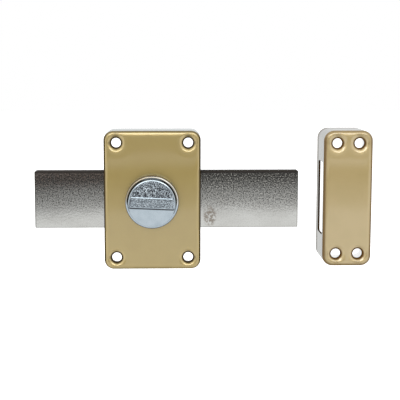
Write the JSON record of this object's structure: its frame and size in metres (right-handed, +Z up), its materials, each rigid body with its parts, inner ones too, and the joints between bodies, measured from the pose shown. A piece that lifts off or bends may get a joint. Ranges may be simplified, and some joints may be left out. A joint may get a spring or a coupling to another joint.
{
  "type": "knob rim bolt with box strike",
  "caption": "Surface-mounted door bolt: a knob turns a pinion that slides a wide flat bolt through a gold case towards a slotted box strike.",
  "frame": {"origin": "where the knob's axis meets the door face, which is the plane of the case's open back", "axes": "+X along the bolt towards the strike, +Y into the door, +Z up; the knob faces -Y"},
  "size_m": [0.2154, 0.0251, 0.0903],
  "materials": {
    "gold_lacquer": "satin gold lacquer on pressed steel",
    "bolt_nickel": "nickel plate over a fine grain",
    "knob_nickel": "bluish plate over a sandy casting",
    "zinc_plate": "bright zinc plate",
    "zinc_screw": "bright zinc plate",
    "guide_casting": "as cast",
    "bush_brass": "turned",
    "washer_plastic": "natural nylon",
    "spring_steel": "tempered spring steel",
    "blackened_steel": "black oxide",
    "shaft_steel": "turned steel"
  },
  "bodies": {
    "case": {"case_cover": "gold_lacquer", "back_plate": "zinc_plate", "cover_posts": "zinc_plate", "back_screws": "zinc_screw", "upper_guide": "guide_casting", "lower_guide": "guide_casting", "guide_rivets": "zinc_screw", "front_bush": "bush_brass", "rear_bush": "bush_brass", "thrust_washer": "washer_plastic", "leaf_spring": "spring_steel", "leaf_rivet": "zinc_screw", "strike_shell": "gold_lacquer"},
    "bolt": {"bolt": "bolt_nickel", "stop_block": "zinc_screw"},
    "knob": {"knob": "knob_nickel", "knob_grub_screw": "blackened_steel", "pinion_shaft": "shaft_steel", "retaining_ring": "blackened_steel", "spring_washer": "spring_steel"}
  },
  "joints": [
    {"name": "bolt_slide", "type": "slide", "parent": "case", "child": "bolt", "axis": [1, 0, 0], "range_m": [-0.025, 0.025]},
    {"name": "knob_turn", "type": "hinge", "parent": "case", "child": "knob", "pos_m": [0, 0, 0], "axis": [0, 1, 0], "range_deg": [-360, 360]}
  ],
  "couplings": [
    {"joint": "knob_turn", "follows": "bolt_slide", "rad_per_m": 250}
  ]
}
